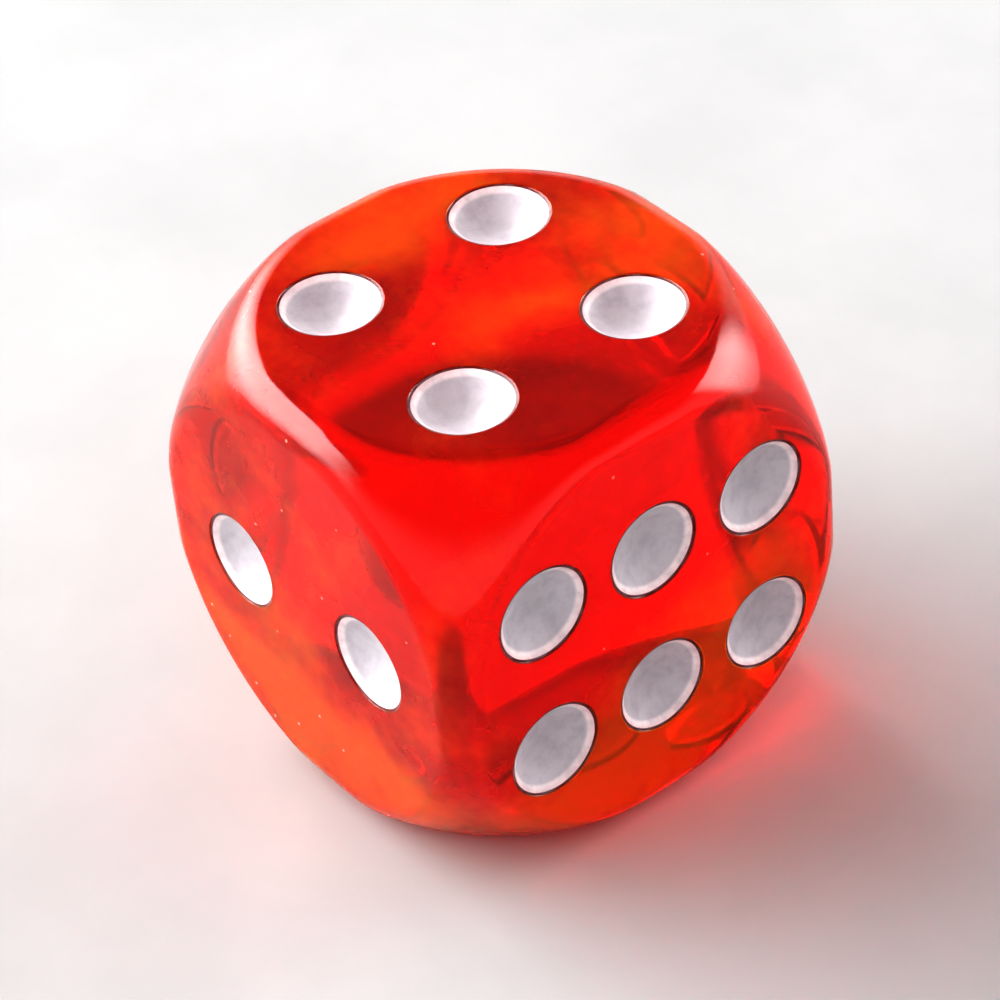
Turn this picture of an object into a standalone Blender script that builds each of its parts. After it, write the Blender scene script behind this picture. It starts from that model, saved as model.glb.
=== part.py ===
"""Round-cornered gaming die: one moulded resin block with a coat of paint in each of its 21 dishes.

The origin is at the middle of the resting face and +Z is up. The faces are +Z four, -Z three, +X six,
-X one, +Y five and -Y two. Opposite faces add up to seven, and one, two, three run clockwise around
the corner they share.
"""
import math

import bmesh
import bpy
from mathutils import Matrix, Vector

MM = 0.001

# The block: a cube trimmed by a sphere about its centre, with every edge then rounded.
SIDE = 16.0 * MM
CORNER_SPHERE_RADIUS = 10.95 * MM
EDGE_RADIUS = 1.2 * MM

# The spots, measured on a face from its centre.
SPOT_OFFSET = 3.4 * MM
SIX_STEP = 4.38 * MM
SIX_OFFSET = 2.82 * MM

# A dish is a cap of a sphere, and its paint is a coat of even thickness that stops below the mouth.
DISH_MOUTH_RADIUS = 1.72 * MM
DISH_DEPTH = 0.75 * MM
DISH_SPHERE_RADIUS = (DISH_MOUTH_RADIUS**2 + DISH_DEPTH**2) / (2.0 * DISH_DEPTH)
DISH_SPHERE_HEIGHT = DISH_SPHERE_RADIUS - DISH_DEPTH
PAINT_GAP = 0.03 * MM
PAINT_THICKNESS = 0.08 * MM
PAINT_RIM_DEPTH = 0.06 * MM
CUTTER_OVERLAP = 0.3 * MM

# How finely the round shapes are divided.
STRAIGHT_STEPS = 1
FAN_STEPS = 1
ARC_STEPS = 3
ROUNDING_STEPS = 5
TURN_STEPS = 20
DISH_STEPS = 2
WELD_DISTANCE = 0.0001 * MM
SMOOTH_ANGLE = math.radians(35.0)

X = Vector((1.0, 0.0, 0.0))
Y = Vector((0.0, 1.0, 0.0))
Z = Vector((0.0, 0.0, 1.0))
CENTRE = Z * (SIDE / 2.0)

# Each face's rightward, upward and outward directions, as seen from outside it.
FACE_DIRECTIONS = {
    "one": (-Y, Z, -X),
    "two": (X, Z, -Y),
    "three": (X, -Y, -Z),
    "four": (X, Y, Z),
    "five": (-X, Z, Y),
    "six": (Y, Z, X),
}

MIDDLE = [(0.0, 0.0)]
ONE_DIAGONAL = [(-SPOT_OFFSET, SPOT_OFFSET), (SPOT_OFFSET, -SPOT_OFFSET)]
OTHER_DIAGONAL = [(-SPOT_OFFSET, -SPOT_OFFSET), (SPOT_OFFSET, SPOT_OFFSET)]
LEVEL_PAIR = [(-SPOT_OFFSET, 0.0), (SPOT_OFFSET, 0.0)]
TWO_ROWS = [(step * SIX_STEP, side * SIX_OFFSET) for side in (1, -1) for step in (-1, 0, 1)]

# The spots' places on each face, as distances to the right and up from its centre.
SPOTS = {
    "one": MIDDLE,
    "two": LEVEL_PAIR,
    "three": MIDDLE + ONE_DIAGONAL,
    "four": ONE_DIAGONAL + OTHER_DIAGONAL,
    "five": MIDDLE + ONE_DIAGONAL + OTHER_DIAGONAL,
    "six": TWO_ROWS,
}


def clear_scene():
    for item in list(bpy.data.objects):
        bpy.data.objects.remove(item, do_unlink=True)


def plain_material(name, colour, roughness):
    material = bpy.data.materials.new(name)
    material.use_nodes = True
    shader = material.node_tree.nodes["Principled BSDF"]
    shader.inputs["Base Color"].default_value = (*colour, 1.0)
    shader.inputs["Roughness"].default_value = roughness
    shader.inputs["Metallic"].default_value = 0.0
    material.diffuse_color = (*colour, 1.0)
    return material


def add_object(name, mesh, material):
    item = bpy.data.objects.new(name, mesh)
    if not mesh.materials:
        mesh.materials.append(material)
    bpy.context.scene.collection.objects.link(item)
    return item


def face_matrix(face):
    """From a face's own frame, with its centre as the origin and z outward, to the die's frame."""
    right, up, out = FACE_DIRECTIONS[face]
    turn = Matrix((right, up, out)).transposed().to_4x4()
    return Matrix.Translation(CENTRE + out * (SIDE / 2.0)) @ turn


def even_steps(low, high, count):
    return [low + (high - low) * index / count for index in range(count + 1)]


def outline_eighth():
    """Stations along a flat face's outline, from the middle of a side to the diagonal.

    A station is a point of the outline and the direction in which the surface leaves it. The side is
    straight, then the direction fans round at its end, then the outline follows an arc.
    """
    half_flat = SIDE / 2.0 - EDGE_RADIUS
    core_radius = CORNER_SPHERE_RADIUS - EDGE_RADIUS
    arc_radius = math.sqrt(core_radius**2 - half_flat**2)
    arc_start = math.acos(half_flat / arc_radius)
    straight_end = arc_radius * math.sin(arc_start)
    straight = [(half_flat, y, 0.0) for y in even_steps(0.0, straight_end, STRAIGHT_STEPS)]
    fan = [(half_flat, straight_end, turn) for turn in even_steps(0.0, arc_start, FAN_STEPS)]
    arc = []
    for turn in even_steps(arc_start, math.pi / 4.0, ARC_STEPS):
        arc.append((arc_radius * math.cos(turn), arc_radius * math.sin(turn), turn))
    return straight + fan[1:] + arc[1:]


def outline_stations():
    """The eighth of an outline mirrored and turned into the whole of it."""
    eighth = outline_eighth()
    mirrored = [(y, x, math.pi / 2.0 - turn) for x, y, turn in reversed(eighth)]
    quarter = eighth + mirrored[1:-1]
    stations = []
    for quarter_turn in range(4):
        angle = quarter_turn * math.pi / 2.0
        for x, y, turn in quarter:
            point = Matrix.Rotation(angle, 2) @ Vector((x, y))
            stations.append((point, turn % (math.pi / 2.0), angle + turn))
    return stations


def rounding_points(station):
    """Points from a flat face's outline, over the rounded edge or corner, to the next face's share.

    The rounding is a ball rolled over a smaller core. The core is a cube trimmed by a sphere, so the
    ball turns about a point of the outline first, and at a corner it then rolls over that sphere.
    """
    point, turn, direction = station
    half_side = SIDE / 2.0
    core_radius = CORNER_SPHERE_RADIUS - EDGE_RADIUS
    core_point = Vector((point.x, point.y, half_side - EDGE_RADIUS))
    sphere_start = math.acos(min(1.0, core_point.z / core_radius))
    from_side = min(turn, math.pi / 2.0 - turn)
    share_end = math.atan(1.0 / math.cos(from_side))
    points = []
    for tilt in even_steps(0.0, share_end, ROUNDING_STEPS):
        across = math.sin(tilt)
        normal = Vector((across * math.cos(direction), across * math.sin(direction), math.cos(tilt)))
        on_arc = from_side > 0.0 and tilt > sphere_start
        support = normal * core_radius if on_arc else core_point
        points.append(support + normal * EDGE_RADIUS)
    return points


def block_mesh():
    """The rounded block: six equal shares, each a flat face and the rounding around it, welded."""
    shares = [rounding_points(station) for station in outline_stations()]
    work = bmesh.new()
    for right, up, out in FACE_DIRECTIONS.values():
        turn = Matrix((right, up, out)).transposed()
        rings = []
        for level in range(ROUNDING_STEPS + 1):
            rings.append([work.verts.new(CENTRE + turn @ share[level]) for share in shares])
        count = len(shares)
        for inner, outer in zip(rings, rings[1:]):
            for index in range(count):
                after = (index + 1) % count
                work.faces.new((inner[index], outer[index], outer[after], inner[after]))
        work.faces.new(rings[0])
    bmesh.ops.remove_doubles(work, verts=work.verts, dist=WELD_DISTANCE)
    return finished_mesh(work, "block")


def sphere_arc(radius, start, end, steps):
    """Profile points, as distance from the axis and height above the face, on a dish's sphere."""
    points = []
    for angle in even_steps(start, end, steps):
        points.append((radius * math.sin(angle), DISH_SPHERE_HEIGHT - radius * math.cos(angle)))
    return points


def angle_at_height(radius, height):
    return math.acos((DISH_SPHERE_HEIGHT - height) / radius)


def turned_mesh(name, profile):
    """Spin a profile that starts and ends on the axis into a closed body."""
    work = bmesh.new()
    verts = [work.verts.new((distance, 0.0, height)) for distance, height in profile]
    edges = [work.edges.new(pair) for pair in zip(verts, verts[1:])]
    bmesh.ops.spin(
        work,
        geom=verts + edges,
        cent=(0.0, 0.0, 0.0),
        axis=(0.0, 0.0, 1.0),
        angle=2.0 * math.pi,
        steps=TURN_STEPS,
    )
    bmesh.ops.remove_doubles(work, verts=work.verts, dist=WELD_DISTANCE)
    return finished_mesh(work, name)


def finished_mesh(work, name):
    bmesh.ops.recalc_face_normals(work, faces=work.faces)
    mesh = bpy.data.meshes.new(name)
    work.to_mesh(mesh)
    work.free()
    mesh.shade_smooth()
    mesh.set_sharp_from_angle(angle=SMOOTH_ANGLE)
    return mesh


def paint_rim_angle():
    return angle_at_height(DISH_SPHERE_RADIUS - PAINT_GAP, -PAINT_RIM_DEPTH)


def cutter_mesh(places):
    """A turned cutter at every spot. Its rings line up with those of the paint's outer side."""
    mouth = angle_at_height(DISH_SPHERE_RADIUS, 0.0)
    top = angle_at_height(DISH_SPHERE_RADIUS, CUTTER_OVERLAP)
    profile = sphere_arc(DISH_SPHERE_RADIUS, 0.0, paint_rim_angle(), DISH_STEPS)
    profile += sphere_arc(DISH_SPHERE_RADIUS, mouth, top, 1)
    profile.append((0.0, CUTTER_OVERLAP))
    single = turned_mesh("single_cutter", profile)
    work = bmesh.new()
    for place in places:
        copy = single.copy()
        copy.transform(place)
        work.from_mesh(copy)
        bpy.data.meshes.remove(copy)
    bpy.data.meshes.remove(single)
    return finished_mesh(work, "dish_cutter")


def paint_mesh():
    """One coat: a dished shell with a flat rim, in its face's own frame."""
    outer_radius = DISH_SPHERE_RADIUS - PAINT_GAP
    inner_radius = outer_radius - PAINT_THICKNESS
    inner_rim = angle_at_height(inner_radius, -PAINT_RIM_DEPTH)
    profile = sphere_arc(outer_radius, 0.0, paint_rim_angle(), DISH_STEPS)
    profile += reversed(sphere_arc(inner_radius, 0.0, inner_rim, DISH_STEPS))
    return turned_mesh("spot_paint", profile)


def spot_places():
    """Every spot's name and the matrix from a spot's own frame to the die's frame."""
    places = {}
    for face, spots in SPOTS.items():
        for number, (right, up) in enumerate(spots, start=1):
            name = f"paint_{face}_{number}" if len(spots) > 1 else f"paint_{face}"
            places[name] = face_matrix(face) @ Matrix.Translation((right, up, 0.0))
    return places


def cut_dishes(body, places):
    cutter = add_object("dish_cutter", cutter_mesh(places), body.data.materials[0])
    cutter.hide_render = True
    cutter.display_type = "WIRE"
    cut = body.modifiers.new("dishes", "BOOLEAN")
    cut.operation = "DIFFERENCE"
    cut.solver = "EXACT"
    cut.object = cutter
    return cutter


def build():
    clear_scene()
    resin = plain_material("red_resin", (0.76, 0.020, 0.003), 0.08)
    paint = plain_material("white_paint", (0.83, 0.82, 0.83), 0.35)
    die = bpy.data.objects.new("die", None)
    bpy.context.scene.collection.objects.link(die)
    places = spot_places()
    body = add_object("die_body", block_mesh(), resin)
    cutter = cut_dishes(body, places.values())
    coat = paint_mesh()
    pieces = [body, cutter]
    for name, place in places.items():
        piece = add_object(name, coat, paint)
        piece.matrix_world = place
        pieces.append(piece)
    for piece in pieces:
        piece.parent = die


build()
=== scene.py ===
"""Looks of a round-cornered gaming die: marbled translucent resin with a coat of white paint in each dish.

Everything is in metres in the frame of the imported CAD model, with the die standing on z = 0.
"""
import math

import bmesh
import bpy
import numpy as np
from mathutils import Matrix, Vector
from mathutils.geometry import delaunay_2d_cdt


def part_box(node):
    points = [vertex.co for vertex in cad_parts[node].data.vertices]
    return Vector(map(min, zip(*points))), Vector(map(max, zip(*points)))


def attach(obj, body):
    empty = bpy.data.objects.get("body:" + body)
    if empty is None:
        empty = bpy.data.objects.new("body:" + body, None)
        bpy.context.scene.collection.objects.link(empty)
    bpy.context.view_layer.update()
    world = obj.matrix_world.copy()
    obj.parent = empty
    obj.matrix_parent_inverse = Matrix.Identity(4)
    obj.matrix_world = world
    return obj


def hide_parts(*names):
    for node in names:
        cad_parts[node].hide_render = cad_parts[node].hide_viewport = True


MM = 0.001

# The block: a cube trimmed by a sphere about its centre, with every edge then rounded.
CORNER_SPHERE_RADIUS = 10.95 * MM
EDGE_RADIUS = 1.2 * MM

# The dishes: caps of a sphere, with a lip softened where they meet the face.
DISH_MOUTH_RADIUS = 1.72 * MM
DISH_DEPTH = 0.75 * MM
DISH_SPHERE_RADIUS = (DISH_MOUTH_RADIUS**2 + DISH_DEPTH**2) / (2.0 * DISH_DEPTH)
DISH_SPHERE_HEIGHT = DISH_SPHERE_RADIUS - DISH_DEPTH
LIP_RADIUS = 0.06 * MM

# A coat of paint reaches a little into the resin, so that no air is left behind it.
PAINT_THICKNESS = 0.04 * MM
PAINT_BITE = 0.02 * MM
PAINT_RIM_DEPTH = 0.02 * MM

# How finely the round shapes are divided.
STRAIGHT_STEPS = 6
FAN_STEPS = 5
ARC_STEPS = 20
BALL_STEPS = 14
CORNER_STEPS = 8
SHAPE_SOFTENING = 24
NORMAL_SOFTENING = 90
TURN_STEPS = 72
LIP_STEPS = 4
DISH_STEPS = 12
WELD_DISTANCE = 0.0002 * MM
FILL_TOLERANCE = 0.00001

COAT_SHARP_ANGLE = math.radians(50.0)

# The resin's noises, per side of the die: scale, detail, roughness and distortion.
WARP_NOISE = (1.1, 1.0, 0.5)
SWIRL_NOISE = (1.5, 2.0, 0.5, 0.3)
MOTTLE_NOISE = (9.0, 3.0, 0.6)
SMUDGE_NOISE = (7.0, 6.0, 0.65)
RIPPLE_NOISE = (3.0, 3.0, 0.5)

# The swirls: where the faces cut them, in sides, how far they are warped and how mottled they are.
SWIRL_SHIFT = (11.9, 8.8, 5.5)
SWIRL_WARP = (1.3, 1.3, 1.3)
MOTTLE_SHARE = 0.20

# From the clear swirls to the cloudy ones: the colour, and how much light passes unscattered. Here and
# below, four numbers are the range of a noise and the two values that it is spread between.
RESIN_COLOURS = ((0.40, (1.0, 0.055, 0.001)), (0.60, (1.0, 0.19, 0.005)))
RESIN_CLEARNESS = (0.40, 0.62, 0.92, 0.60)

# Specks in the resin: cells per side, radius in cells and the limit on a cell's random grey, then their
# colour and cloudiness.
SPECK_CELLS = (14.0, 0.05, 0.4)
SPECK_COLOUR = (1.0, 0.50, 0.36)
SPECK_CLOUDINESS = 0.5

# The rest of the resin: its polish, bumps (strength and height), refraction, scattering and absorption.
RESIN_ROUGHNESS = (0.35, 0.7, 0.06, 0.12)
RESIN_BUMP = (0.10, 0.00012)
RESIN_IOR = 1.49
SCATTER_RADIUS = (1.0, 0.08, 0.03)
SCATTER_SCALE = 0.004
ABSORPTION_COLOUR = (0.9995, 0.80, 0.50)
ABSORPTION_DENSITY = 1100.0

# The paint: its colour from the middle of a dish, through a rim painted paler as a highlight, to a dark red
# line round it painted as the shade of the lip.
PAINT_COLOURS_WITH_RIM_HIGHLIGHT_AND_SHADE = (
    (0.0, (0.50, 0.485, 0.51)),
    (0.81, (0.56, 0.535, 0.57)),
    (0.875, (0.88, 0.78, 0.79)),
    (0.94, (0.88, 0.68, 0.69)),
    (0.957, (0.12, 0.002, 0.001)),
)
PAINT_NOISE = (3.5, 4.0, 0.6)
RIM_WOBBLE = 0.02
STAIN_COLOUR = (0.34, 0.32, 0.36)
STAIN_SHARE = (0.42, 0.68, 0.0, 0.38)
PAINT_ROUGHNESS = (0.3, 0.7, 0.28, 0.42)
PAINT_BUMP = (0.5, 0.00003)
PAINT_IOR = 1.5

# The floor. Under the die is a thin film of air, as under anything hard that stands on something hard.
FLOOR_RADIUS = 0.9
FLOOR_SEGMENTS = 128
FLOOR_NOISE = (90.0, 4.0, 0.6)
FLOOR_COLOURS = ((0.3, (0.430, 0.455, 0.455)), (0.7, (0.460, 0.485, 0.485)))
FLOOR_ROUGHNESS = 0.6
FLOOR_SPECULAR = 0.2
AIR_FILM = 0.03 * MM

# The camera's place around the die. Its distances are in units of the die's side.
CAMERA_AZIMUTH = math.radians(55.05)
CAMERA_ELEVATION = math.radians(39.57)
CAMERA_ROLL = math.radians(-5.5)
CAMERA_DISTANCE = 8.59
CAMERA_CLIP = (0.1, 200.0)
CAMERA_LENS = 152.0

# The softboxes: direction from the die, width, height and power.
SOFTBOXES = {
    "key": ((-0.83, -0.42, 0.36), 2.9, 1.2, 68.0),
    "rim": ((0.20, 0.95, 0.22), 1.0, 0.7, 10.0),
}
SOFTBOX_DISTANCE = 1.2

# How a softbox fades, from side to side and from its lower edge up.
SIDE_FADE = ((0.0, 0.0), (0.35, 1.0), (0.65, 1.0), (1.0, 0.0))
LOWER_FADE = ((0.0, 0.1), (0.6, 1.0))

# The studio's backdrop reaches this high, and above it the room fades to a dim ceiling.
BACKDROP_TOP = math.radians(12.0)
CEILING_START = math.radians(32.0)
BACKDROP_COLOUR = (0.96, 0.96, 0.97)
CEILING_COLOUR = (0.38, 0.30, 0.30)

# How far light is followed through the resin, and how the picture is cleaned.
LOOK = "Very High Contrast"
LIGHT_PATHS = {
    "max_bounces": 16,
    "transmission_bounces": 14,
    "transparent_max_bounces": 8,
    "sample_clamp_indirect": 6.0,
    "blur_glossy": 0.3,
    "use_denoising": True,
}

NORMAL_LAYER = "surface_normal"
ROUNDED_LAYER = "rounded"
DISTANCE_LAYER = "from_middle"


def even_steps(low, high, count):
    """Evenly spaced numbers from low to high, both included."""
    return [low + (high - low) * index / count for index in range(count + 1)]


# ---------------------------------------------------------------- shapes


def outline_eighth(half_side):
    """Stations along a flat face's outline, from the middle of a side to the diagonal.

    A station is a point of the outline and the direction in which the surface leaves it. The side is
    straight, then the direction fans round at its end, then the outline follows an arc.
    """
    half_flat = half_side - EDGE_RADIUS
    core_radius = CORNER_SPHERE_RADIUS - EDGE_RADIUS
    arc_radius = math.sqrt(core_radius**2 - half_flat**2)
    arc_start = math.acos(half_flat / arc_radius)
    straight_end = arc_radius * math.sin(arc_start)
    straight = [(half_flat, y, 0.0) for y in even_steps(0.0, straight_end, STRAIGHT_STEPS)]
    fan = [(half_flat, straight_end, turn) for turn in even_steps(0.0, arc_start, FAN_STEPS)]
    arc = []
    for turn in even_steps(arc_start, math.pi / 4.0, ARC_STEPS):
        arc.append((arc_radius * math.cos(turn), arc_radius * math.sin(turn), turn))
    return straight + fan[1:] + arc[1:]


def outline_stations(half_side):
    """The eighth of an outline mirrored and turned into the whole of it."""
    eighth = outline_eighth(half_side)
    mirrored = [(y, x, math.pi / 2.0 - turn) for x, y, turn in reversed(eighth)]
    quarter = eighth + mirrored[1:-1]
    stations = []
    for quarter_turn in range(4):
        angle = quarter_turn * math.pi / 2.0
        for x, y, turn in quarter:
            point = Matrix.Rotation(angle, 2) @ Vector((x, y))
            stations.append((point, turn % (math.pi / 2.0), angle + turn))
    return stations


def rounding_tilts(sphere_start, share_end):
    """Tilts from the flat face to its share's end, in two runs if the corner's sphere is reached."""
    if share_end <= sphere_start:
        return even_steps(0.0, share_end, BALL_STEPS + CORNER_STEPS)
    on_ball = even_steps(0.0, sphere_start, BALL_STEPS)
    return on_ball + even_steps(sphere_start, share_end, CORNER_STEPS)[1:]


def rounding_points(station, half_side):
    """Points and normals from a flat face's outline to the border of the next face's share."""
    point, turn, direction = station
    core_radius = CORNER_SPHERE_RADIUS - EDGE_RADIUS
    core_point = Vector((point.x, point.y, half_side - EDGE_RADIUS))
    sphere_start = math.acos(min(1.0, core_point.z / core_radius))
    from_side = min(turn, math.pi / 2.0 - turn)
    share_end = math.atan(1.0 / math.cos(from_side))
    points = []
    for tilt in rounding_tilts(sphere_start, share_end):
        across = math.sin(tilt)
        normal = Vector((across * math.cos(direction), across * math.sin(direction), math.cos(tilt)))
        support = normal * core_radius if tilt > sphere_start else core_point
        points.append((support + normal * EDGE_RADIUS, normal))
    return points


def dish_profile():
    """Points and normals of a dish from the flat face over the lip to the bottom, as (distance, height)."""
    lip_height = DISH_SPHERE_HEIGHT + LIP_RADIUS
    lip_distance = math.sqrt((DISH_SPHERE_RADIUS + LIP_RADIUS) ** 2 - lip_height**2)
    lip_turn = math.atan2(lip_distance, lip_height)
    profile = []
    for angle in even_steps(0.0, lip_turn, LIP_STEPS):
        normal = (-math.sin(angle), math.cos(angle))
        place = (lip_distance + LIP_RADIUS * normal[0], LIP_RADIUS * (normal[1] - 1.0))
        profile.append((place, normal))
    for angle in even_steps(lip_turn, 0.0, DISH_STEPS)[1:]:
        normal = (-math.sin(angle), math.cos(angle))
        height = DISH_SPHERE_HEIGHT - DISH_SPHERE_RADIUS * math.cos(angle)
        profile.append(((DISH_SPHERE_RADIUS * math.sin(angle), height), normal))
    return profile


def add_point(work, layer, place, normal):
    vert = work.verts.new(place)
    vert[layer] = normal
    return vert


def add_strip(work, inner, outer):
    """Quads between two closed rings of the same length, wound to face the side that inner winds round."""
    count = len(inner)
    for index in range(count):
        after = (index + 1) % count
        work.faces.new((inner[index], outer[index], outer[after], inner[after]))


def add_dish(work, layer, turn, centre):
    """One dish in a face. Gives back the ring where its lip meets the flat face."""
    profile = dish_profile()
    rings = []
    for (distance, height), (outward, upward) in profile[:-1]:
        ring = []
        for step in range(TURN_STEPS):
            angle = 2.0 * math.pi * step / TURN_STEPS
            ray = Vector((math.cos(angle), math.sin(angle), 0.0))
            place = centre + turn @ (ray * distance + Vector((0.0, 0.0, height)))
            normal = turn @ (ray * outward + Vector((0.0, 0.0, upward)))
            ring.append(add_point(work, layer, place, normal))
        rings.append(ring)
    for outer, inner in zip(rings, rings[1:]):
        add_strip(work, inner, outer)
    (_, bottom_height), _ = profile[-1]
    axis = turn @ Vector((0.0, 0.0, 1.0))
    bottom = add_point(work, layer, centre + axis * bottom_height, axis)
    last = rings[-1]
    for index, vert in enumerate(last):
        work.faces.new((bottom, vert, last[(index + 1) % len(last)]))
    return rings[0]


def fill_flat(work, turn, outline, lips, centres):
    """Triangles over a flat face, between its outline and the lips of its dishes."""
    verts = outline + [vert for lip in lips for vert in lip]
    to_face = turn.transposed() * (1.0 / MM)
    points = [(to_face @ vert.co).xy for vert in verts]
    edges = []
    start = 0
    for ring in [outline] + lips:
        count = len(ring)
        edges += [(start + index, start + (index + 1) % count) for index in range(count)]
        start += count
    _, _, triangles, origins, _, _ = delaunay_2d_cdt(points, edges, [], 0, FILL_TOLERANCE)
    for triangle in triangles:
        corners = [verts[origins[index][0]] for index in triangle]
        middle = sum((vert.co for vert in corners), Vector()) / 3.0
        if all((middle - centre).length > DISH_MOUTH_RADIUS for centre in centres):
            work.faces.new(corners)


def add_share(work, layer, rounded, middle, turn, half_side, dish_centres):
    """A sixth of the block: a flat face with its dishes, and the rounding around it."""
    shares = [rounding_points(station, half_side) for station in outline_stations(half_side)]
    rings = []
    for level in range(BALL_STEPS + CORNER_STEPS + 1):
        ring = []
        for share in shares:
            place, normal = share[level]
            ring.append(add_point(work, layer, middle + turn @ place, turn @ normal))
            ring[-1][rounded] = int(level > 0)
        rings.append(ring)
    for inner, outer in zip(rings, rings[1:]):
        add_strip(work, inner, outer)
    lips = [add_dish(work, layer, turn, centre) for centre in dish_centres]
    fill_flat(work, turn, rings[0], lips, dish_centres)


def averaged(values, pairs, moving, rounds):
    """Values at points, each moving one averaged with its neighbours over and over."""
    counts = np.ones(len(values))
    np.add.at(counts, pairs[:, 0], 1.0)
    for _ in range(rounds):
        total = values.copy()
        np.add.at(total, pairs[:, 0], values[pairs[:, 1]])
        values = np.where(moving[:, None], total / counts[:, None], values)
    return values


def soften_roundings(work, layer, rounded):
    """Average the places and normals of the roundings, so that they flow into each other as if polished."""
    work.verts.index_update()
    one_way = np.array([[vert.index for vert in edge.verts] for edge in work.edges])
    pairs = np.concatenate((one_way, one_way[:, ::-1]))
    moving = np.array([vert[rounded] > 0 for vert in work.verts])
    places = averaged(np.array([vert.co for vert in work.verts]), pairs, moving, SHAPE_SOFTENING)
    normals = averaged(np.array([vert[layer] for vert in work.verts]), pairs, moving, NORMAL_SOFTENING)
    for vert, place, normal in zip(work.verts, places, normals):
        if vert[rounded]:
            vert.co = place
            vert[layer] = Vector(normal).normalized()


def block_mesh(middle, half_side, spots):
    """The whole block. Its shading normals are exact on the flats and dishes, and softened on the rest."""
    work = bmesh.new()
    layer = work.verts.layers.float_vector.new(NORMAL_LAYER)
    rounded = work.verts.layers.int.new(ROUNDED_LAYER)
    for turn, centres in spots:
        add_share(work, layer, rounded, middle, turn, half_side, centres)
    bmesh.ops.remove_doubles(work, verts=work.verts, dist=WELD_DISTANCE)
    soften_roundings(work, layer, rounded)
    bmesh.ops.recalc_face_normals(work, faces=work.faces)
    return shaded_mesh(work, "resin_block")


def shaded_mesh(work, name):
    """A smooth mesh, with the shading normals that its points carry if they carry any."""
    mesh = bpy.data.meshes.new(name)
    work.to_mesh(mesh)
    work.free()
    mesh.shade_smooth()
    layer = mesh.attributes.get(NORMAL_LAYER)
    if layer:
        normals = [item.vector.copy() for item in layer.data]
        mesh.attributes.remove(layer)
        mesh.attributes.remove(mesh.attributes[ROUNDED_LAYER])
        mesh.normals_split_custom_set_from_vertices(normals)
    return mesh


def coat_profile():
    """The section of a coat of paint: its back in the resin, a thin rounded rim, and its concave front."""
    back_radius = DISH_SPHERE_RADIUS + PAINT_BITE
    front_radius = DISH_SPHERE_RADIUS - PAINT_THICKNESS
    rim_height = DISH_SPHERE_HEIGHT + PAINT_RIM_DEPTH
    back_end = math.acos(rim_height / back_radius)
    front_end = math.acos((rim_height + PAINT_THICKNESS) / front_radius)
    arcs = (
        (back_radius, even_steps(0.0, back_end, DISH_STEPS)),
        (front_radius, even_steps(front_end, 0.0, DISH_STEPS)),
    )
    profile = []
    for radius, angles in arcs:
        for angle in angles:
            height = DISH_SPHERE_HEIGHT - radius * math.cos(angle)
            profile.append((radius * math.sin(angle), height))
    return profile


def coat_mesh(turn, centre):
    """A coat of paint in a dish. Each point keeps its distance from the dish's axis, in mouth radii."""
    work = bmesh.new()
    layer = work.verts.layers.float.new(DISTANCE_LAYER)
    verts = [work.verts.new((distance, 0.0, height)) for distance, height in coat_profile()]
    edges = [work.edges.new(pair) for pair in zip(verts, verts[1:])]
    bmesh.ops.spin(
        work,
        geom=verts + edges,
        cent=(0.0, 0.0, 0.0),
        axis=(0.0, 0.0, 1.0),
        angle=2.0 * math.pi,
        steps=TURN_STEPS,
    )
    bmesh.ops.remove_doubles(work, verts=work.verts, dist=WELD_DISTANCE)
    bmesh.ops.recalc_face_normals(work, faces=work.faces)
    for vert in work.verts:
        vert[layer] = math.hypot(vert.co.x, vert.co.y) / DISH_MOUTH_RADIUS
        vert.co = centre + turn @ vert.co
    mesh = shaded_mesh(work, "paint_coat")
    mesh.set_sharp_from_angle(angle=COAT_SHARP_ANGLE)
    return mesh


# ---------------------------------------------------------------- materials


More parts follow.
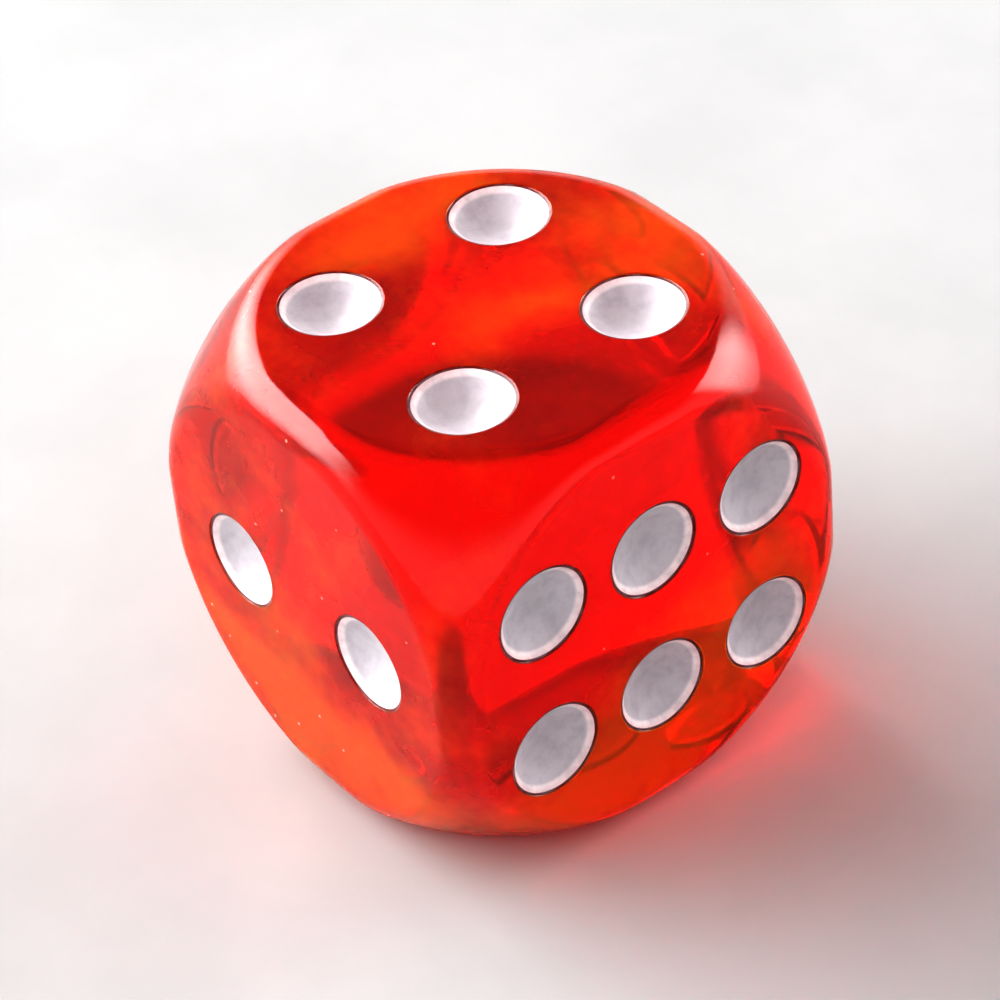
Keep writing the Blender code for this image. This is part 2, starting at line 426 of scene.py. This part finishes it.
class Nodes:
    """The node tree of a material, light or world, with short calls to add nodes and join them."""

    def __init__(self, owner):
        owner.use_nodes = True
        self.tree = owner.node_tree

    def existing(self, name):
        return self.tree.nodes[name]

    def feed(self, socket, value):
        """Join an input to an output, or give it a plain value. A colour needs no alpha."""
        if isinstance(value, bpy.types.NodeSocket):
            self.tree.links.new(value, socket)
        elif socket.type == "RGBA":
            socket.default_value = (*value, 1.0)
        else:
            socket.default_value = value

    def set(self, node, **values):
        """Feed inputs by name, with _ for a space."""
        for key, value in values.items():
            self.feed(node.inputs[key.replace("_", " ")], value)
        return node

    def add(self, kind, **values):
        """A new node with its inputs fed."""
        return self.set(self.tree.nodes.new(kind), **values)

    def math(self, operation, *values, kind="ShaderNodeMath"):
        """A calculation on numbers, or on vectors for the other kind, each a socket or a plain value."""
        node = self.tree.nodes.new(kind)
        node.operation = operation
        for socket, value in zip(node.inputs, values):
            self.feed(socket, value)
        return node.outputs[0]

    def mix_numbers(self, factor, first, second):
        node = self.add("ShaderNodeMix")
        for index, value in ((0, factor), (2, first), (3, second)):
            self.feed(node.inputs[index], value)
        return node.outputs[0]

    def mix_colours(self, factor, first, second):
        node = self.add("ShaderNodeMix")
        node.data_type = "RGBA"
        for index, value in ((0, factor), (6, first), (7, second)):
            self.feed(node.inputs[index], value)
        return node.outputs[2]

    def own_place(self, scale, shift=(0.0, 0.0, 0.0)):
        """The object's own coordinates, multiplied and then shifted."""
        coords = self.add("ShaderNodeTexCoord").outputs["Object"]
        scales = (scale, scale, scale)
        return self.add("ShaderNodeMapping", Vector=coords, Scale=scales, Location=shift).outputs["Vector"]

    def layer(self, name):
        """A number that the mesh keeps at each of its points."""
        node = self.add("ShaderNodeAttribute")
        node.attribute_name = name
        return node.outputs["Fac"]

    def noise(self, vector, scale, detail, roughness, distortion=0.0):
        return self.add(
            "ShaderNodeTexNoise",
            Vector=vector,
            Scale=scale,
            Detail=detail,
            Roughness=roughness,
            Distortion=distortion,
        ).outputs

    def specks(self, vector, scale, radius, limit):
        """Tiny dots: 1 inside them and 0 outside. A cell holds one if its random grey is under the limit."""
        cells = self.add("ShaderNodeTexVoronoi", Vector=vector, Scale=scale).outputs
        inside = self.math("LESS_THAN", cells["Distance"], radius)
        kept = self.math("LESS_THAN", cells["Color"], limit)
        return self.math("MULTIPLY", inside, kept)

    def ramp(self, factor, *stops):
        """A smooth ramp through (place, value) or (place, colour) stops."""
        node = self.add("ShaderNodeValToRGB", Fac=factor)
        node.color_ramp.interpolation = "EASE"
        elements = node.color_ramp.elements
        while len(elements) < len(stops):
            elements.new(0.5)
        for element, (place, value) in zip(elements, stops):
            element.position = place
            colour = value if isinstance(value, tuple) else (value, value, value)
            element.color = (*colour, 1.0)
        return node.outputs["Color"]

    def spread(self, value, low, high, to_low, to_high):
        """A value moved from the range low to high into another, and kept inside it."""
        node = self.add("ShaderNodeMapRange", Value=value)
        return self.set(node, From_Min=low, From_Max=high, To_Min=to_low, To_Max=to_high).outputs["Result"]

    def bump(self, height, strength, distance):
        node = self.add("ShaderNodeBump", Strength=strength, Distance=distance, Height=height)
        return node.outputs["Normal"]


def resin_material(side):
    """Clear red resin with cloudy, more orange swirls, tiny pale specks and an uneven polish."""
    material = bpy.data.materials.new("marbled_red_resin")
    nodes = Nodes(material)
    place = nodes.own_place(1.0 / side, SWIRL_SHIFT)
    warp = nodes.noise(place, *WARP_NOISE)["Color"]
    warped = nodes.math("MULTIPLY_ADD", warp, SWIRL_WARP, place, kind="ShaderNodeVectorMath")
    swirls = nodes.noise(warped, *SWIRL_NOISE)["Fac"]
    mottle = nodes.noise(place, *MOTTLE_NOISE)["Fac"]
    cloud = nodes.mix_numbers(MOTTLE_SHARE, swirls, mottle)
    specks = nodes.specks(place, *SPECK_CELLS)
    clear = nodes.spread(cloud, *RESIN_CLEARNESS)
    smudges = nodes.noise(place, *SMUDGE_NOISE)["Fac"]
    ripples = nodes.noise(place, *RIPPLE_NOISE)["Fac"]
    nodes.set(
        nodes.existing("Principled BSDF"),
        Base_Color=nodes.mix_colours(specks, nodes.ramp(cloud, *RESIN_COLOURS), SPECK_COLOUR),
        Roughness=nodes.spread(smudges, *RESIN_ROUGHNESS),
        IOR=RESIN_IOR,
        Transmission_Weight=nodes.math("SUBTRACT", clear, nodes.math("MULTIPLY", specks, SPECK_CLOUDINESS)),
        Subsurface_Weight=1.0,
        Subsurface_Radius=SCATTER_RADIUS,
        Subsurface_Scale=SCATTER_SCALE,
        Normal=nodes.bump(ripples, *RESIN_BUMP),
    )
    absorption = nodes.add("ShaderNodeVolumeAbsorption")
    nodes.set(absorption, Color=ABSORPTION_COLOUR, Density=ABSORPTION_DENSITY)
    nodes.set(nodes.existing("Material Output"), Volume=absorption.outputs["Volume"])
    return material


def paint_material():
    """White paint, lightly stained, with a painted highlight at its rim and a dark red line of painted shade
    round its edge.
    """
    material = bpy.data.materials.new("white_paint_with_painted_rim_shading")
    nodes = Nodes(material)
    place = nodes.own_place(1.0 / DISH_MOUTH_RADIUS)
    mottle = nodes.noise(place, *PAINT_NOISE)["Fac"]
    wobbled = nodes.math("MULTIPLY_ADD", mottle, RIM_WOBBLE, nodes.layer(DISTANCE_LAYER))
    # The ramp goes from the paint's own grey white to a painted highlight at the rim, then to a dark red
    # line of painted shade round the lip.
    colour = nodes.ramp(wobbled, *PAINT_COLOURS_WITH_RIM_HIGHLIGHT_AND_SHADE)
    stain = nodes.spread(mottle, *STAIN_SHARE)
    nodes.set(
        nodes.existing("Principled BSDF"),
        Base_Color=nodes.mix_colours(stain, colour, STAIN_COLOUR),
        Roughness=nodes.spread(mottle, *PAINT_ROUGHNESS),
        IOR=PAINT_IOR,
        Normal=nodes.bump(mottle, *PAINT_BUMP),
    )
    return material


def floor_material():
    material = bpy.data.materials.new("pale_floor")
    nodes = Nodes(material)
    grain = nodes.noise(nodes.own_place(1.0), *FLOOR_NOISE)["Fac"]
    nodes.set(
        nodes.existing("Principled BSDF"),
        Base_Color=nodes.ramp(grain, *FLOOR_COLOURS),
        Roughness=FLOOR_ROUGHNESS,
        Specular_IOR_Level=FLOOR_SPECULAR,
    )
    return material


# ---------------------------------------------------------------- pieces


def add_piece(name, mesh, material):
    mesh.materials.clear()
    mesh.materials.append(material)
    piece = bpy.data.objects.new(name, mesh)
    bpy.context.scene.collection.objects.link(piece)
    return piece


def face_turn(out):
    """The turn from a face's own frame, with z outward, to the die's frame."""
    return out.to_track_quat("Z", "Y").to_matrix()


def spot_of(node, middle, half_side):
    """A spot's face direction and the point on that face above the middle of its dish."""
    low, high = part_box(node)
    from_middle = (low + high) / 2.0 - middle
    sizes = high - low
    thin = min(range(3), key=lambda index: sizes[index])
    out = Vector((0.0, 0.0, 0.0))
    out[thin] = math.copysign(1.0, from_middle[thin])
    centre = middle + from_middle
    centre[thin] = middle[thin] + out[thin] * half_side
    return out, centre


def build_die(frame):
    """The block and its coats of paint. Gives back the die's middle and the length of its side."""
    low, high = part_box("die_body")
    middle = (low + high) / 2.0
    half_side = (high.z - low.z) / 2.0
    painted = [node for node in sorted(frame["nodes"]) if node.startswith("paint_")]
    spots = {node: spot_of(node, middle, half_side) for node in painted}
    faces = []
    for thin in range(3):
        for sign in (1.0, -1.0):
            out = Vector((0.0, 0.0, 0.0))
            out[thin] = sign
            centres = [centre for direction, centre in spots.values() if direction == out]
            faces.append((face_turn(out), centres))
    block = block_mesh(middle, half_side, faces)
    body = add_piece("resin_block", block, resin_material(2.0 * half_side))
    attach(body, "root")
    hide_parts("die_body")
    paint = paint_material()
    for node, (out, centre) in spots.items():
        coat = coat_mesh(face_turn(out), centre)
        piece = add_piece(node.replace("paint", "spot_coat"), coat, paint)
        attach(piece, "root")
        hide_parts(node)
    return middle, 2.0 * half_side


# ---------------------------------------------------------------- stage


def add_floor():
    work = bmesh.new()
    bmesh.ops.create_circle(work, cap_ends=True, segments=FLOOR_SEGMENTS, radius=FLOOR_RADIUS)
    mesh = bpy.data.meshes.new("floor")
    work.to_mesh(mesh)
    work.free()
    mesh.materials.append(floor_material())
    floor = bpy.data.objects.new("floor", mesh)
    floor.location.z = -AIR_FILM
    bpy.context.scene.collection.objects.link(floor)


def fade_softbox(light):
    """Dim a softbox towards its sides and its lower edge, as its cloth does far from the lamp."""
    nodes = Nodes(light)
    place = nodes.add("ShaderNodeNewGeometry").outputs["Parametric"]
    axes = nodes.add("ShaderNodeSeparateXYZ", Vector=place).outputs
    across = nodes.ramp(axes["X"], *SIDE_FADE)
    upward = nodes.ramp(axes["Y"], *LOWER_FADE)
    nodes.set(nodes.existing("Emission"), Strength=nodes.math("MULTIPLY", across, upward))


def add_softbox(name, target, direction, width, height, power):
    light = bpy.data.lights.new(name, "AREA")
    light.shape = "RECTANGLE"
    light.size = width
    light.size_y = height
    light.energy = power
    fade_softbox(light)
    softbox = bpy.data.objects.new(name, light)
    bpy.context.scene.collection.objects.link(softbox)
    away = Vector(direction).normalized()
    softbox.location = target + away * SOFTBOX_DISTANCE
    softbox.rotation_euler = away.to_track_quat("Z", "Y").to_euler()


def add_world():
    """A studio with a pale backdrop all round near the horizon and a dim ceiling."""
    world = bpy.data.worlds.new("studio")
    nodes = Nodes(world)
    direction = nodes.add("ShaderNodeTexCoord").outputs["Generated"]
    height = nodes.add("ShaderNodeSeparateXYZ", Vector=direction).outputs["Z"]
    backdrop = (math.sin(BACKDROP_TOP), BACKDROP_COLOUR)
    ceiling = (math.sin(CEILING_START), CEILING_COLOUR)
    nodes.set(nodes.existing("Background"), Color=nodes.ramp(height, backdrop, ceiling))
    bpy.context.scene.world = world


def add_camera(target, side):
    data = bpy.data.cameras.new("camera")
    data.lens = CAMERA_LENS
    data.clip_start, data.clip_end = (side * reach for reach in CAMERA_CLIP)
    camera = bpy.data.objects.new("camera", data)
    bpy.context.scene.collection.objects.link(camera)
    flat = math.cos(CAMERA_ELEVATION)
    back = Vector(
        (math.sin(CAMERA_AZIMUTH) * flat, -math.cos(CAMERA_AZIMUTH) * flat, math.sin(CAMERA_ELEVATION))
    )
    camera.location = target + back * (CAMERA_DISTANCE * side)
    turn = (-back).to_track_quat("-Z", "Y").to_matrix() @ Matrix.Rotation(CAMERA_ROLL, 3, "Z")
    camera.rotation_euler = turn.to_euler()
    bpy.context.scene.camera = camera


def set_render():
    scene = bpy.context.scene
    scene.view_settings.view_transform = "Standard"
    scene.view_settings.look = LOOK
    for name, value in LIGHT_PATHS.items():
        setattr(scene.cycles, name, value)


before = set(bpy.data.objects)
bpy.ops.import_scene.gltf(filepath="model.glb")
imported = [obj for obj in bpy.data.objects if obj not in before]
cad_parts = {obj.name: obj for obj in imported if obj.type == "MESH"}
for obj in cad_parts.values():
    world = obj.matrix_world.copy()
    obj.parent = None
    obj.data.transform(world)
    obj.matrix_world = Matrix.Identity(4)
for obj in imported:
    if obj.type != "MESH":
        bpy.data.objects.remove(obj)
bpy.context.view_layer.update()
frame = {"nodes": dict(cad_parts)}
middle, side = build_die(frame)
add_floor()
for name, (direction, width, height, power) in SOFTBOXES.items():
    add_softbox(name, middle, direction, width, height, power)
add_world()
add_camera(middle, side)
set_render()
